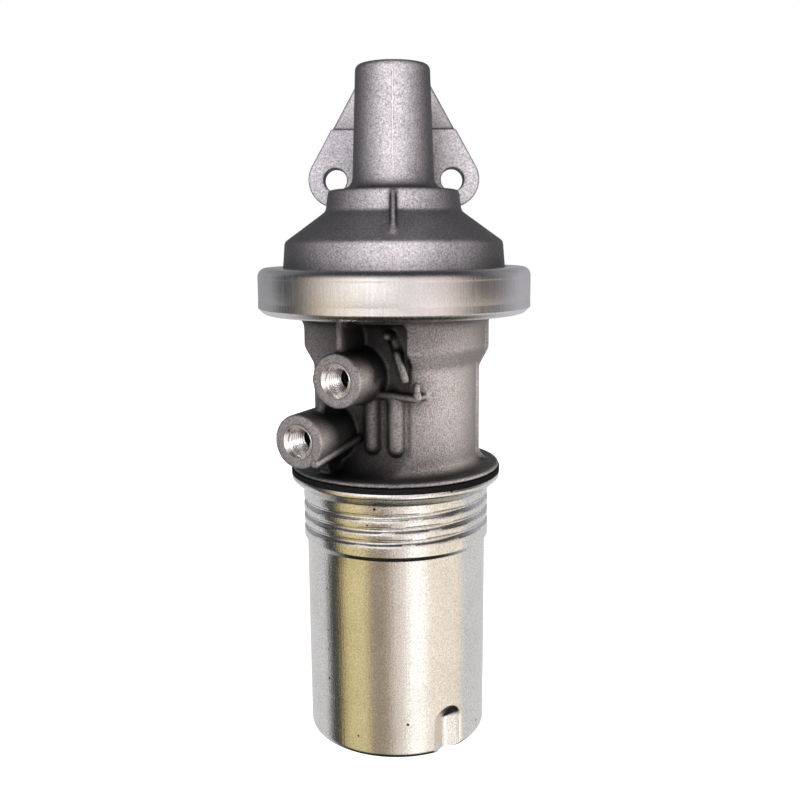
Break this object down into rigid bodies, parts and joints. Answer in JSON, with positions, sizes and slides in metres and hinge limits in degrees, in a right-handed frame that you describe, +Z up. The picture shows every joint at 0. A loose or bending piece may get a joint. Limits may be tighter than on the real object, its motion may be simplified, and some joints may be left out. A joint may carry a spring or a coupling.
{
  "type": "mechanical fuel pump",
  "caption": "Upright rocker-arm diaphragm fuel pump with a cast tower, a side flange, a crimped steel band, two threaded ports and a screw-on filter canister.",
  "frame": {"origin": "middle of the mounting face, halfway between the two bolt holes", "axes": "+Z up along the pump, +Y out of the mounting face towards the engine, so the front of the pump looks along -Y"},
  "size_m": [0.1128, 0.1659, 0.2901],
  "materials": {
    "casting": "fine sand-cast satin",
    "steel_arm": "forged",
    "steel": "turned",
    "bronze": "turned",
    "spring_steel": "wire",
    "ring_steel": "bright rolled satin",
    "canister_steel": "bright passivated",
    "rubber": "moulded",
    "diaphragm_cloth": "reinforced",
    "gasket_fibre": "pressed",
    "paper": "pleated",
    "brass": "pressed"
  },
  "bodies": {
    "pump": {"rocker_housing": "casting", "rocker_pin": "steel", "pin_plug_left": "steel", "pin_plug_right": "steel", "return_spring": "spring_steel", "oil_seal": "rubber", "seal_retainer": "steel", "diaphragm_spring": "spring_steel", "diaphragm": "diaphragm_cloth", "crimp_ring": "ring_steel", "valve_body": "casting", "standpipe": "brass", "canister_gasket": "rubber", "inlet_valve_seat": "brass", "inlet_valve_spring": "spring_steel", "inlet_valve_cage": "brass", "inlet_valve_gasket": "gasket_fibre", "outlet_valve_seat": "brass", "outlet_valve_spring": "spring_steel", "outlet_valve_cage": "brass", "outlet_valve_gasket": "gasket_fibre"},
    "rocker": {"rocker_arm": "steel_arm", "arm_bushing": "bronze"},
    "diaphragm_drive": {"pull_rod": "steel", "spring_seat": "steel", "upper_diaphragm_plate": "steel", "lower_diaphragm_plate": "steel", "rod_washer": "steel", "rod_nut": "steel"},
    "inlet_disc": {"inlet_valve_disc": "rubber"},
    "outlet_disc": {"outlet_valve_disc": "rubber"},
    "filter": {"filter_element": "paper", "filter_top_cap": "steel", "filter_bottom_cap": "steel", "filter_centre_tube": "steel", "filter_grommet": "rubber", "canister_spring": "spring_steel"},
    "canister": {"canister": "canister_steel"}
  },
  "joints": [
    {"name": "rocker_turn", "type": "hinge", "parent": "pump", "child": "rocker", "pos_m": [0, -0.024, 0.004], "axis": [-1, 0, 0], "range_deg": [0, 6.74], "stiffness_Nm_per_rad": 5.5, "springref_deg": -8.59},
    {"name": "diaphragm_stroke", "type": "slide", "parent": "pump", "child": "diaphragm_drive", "axis": [0, 0, 1], "range_m": [0, 0.004], "deforming": ["return_spring", "diaphragm_spring", "diaphragm"]},
    {"name": "inlet_valve_lift", "type": "slide", "parent": "pump", "child": "inlet_disc", "axis": [0, 0, 1], "range_m": [0, 0.0015], "stiffness_N_per_m": 60, "springref_m": -0.001, "deforming": ["inlet_valve_spring"]},
    {"name": "outlet_valve_lift", "type": "slide", "parent": "pump", "child": "outlet_disc", "axis": [0, 0, -1], "range_m": [0, 0.0015], "stiffness_N_per_m": 60, "springref_m": -0.001, "deforming": ["outlet_valve_spring"]},
    {"name": "canister_drop", "type": "slide", "parent": "pump", "child": "filter", "axis": [0, 0, -1], "range_m": [0, 0.0156]},
    {"name": "canister_unscrew", "type": "hinge", "parent": "filter", "child": "canister", "pos_m": [0, -0.058, -0.18], "axis": [0, 0, -1], "range_deg": [0, 1080]}
  ],
  "couplings": [
    {"joint": "diaphragm_stroke", "follows": "rocker_turn", "m_per_rad": 0.034},
    {"joint": "canister_drop", "follows": "canister_unscrew", "m_per_rad": 0.00082761}
  ]
}
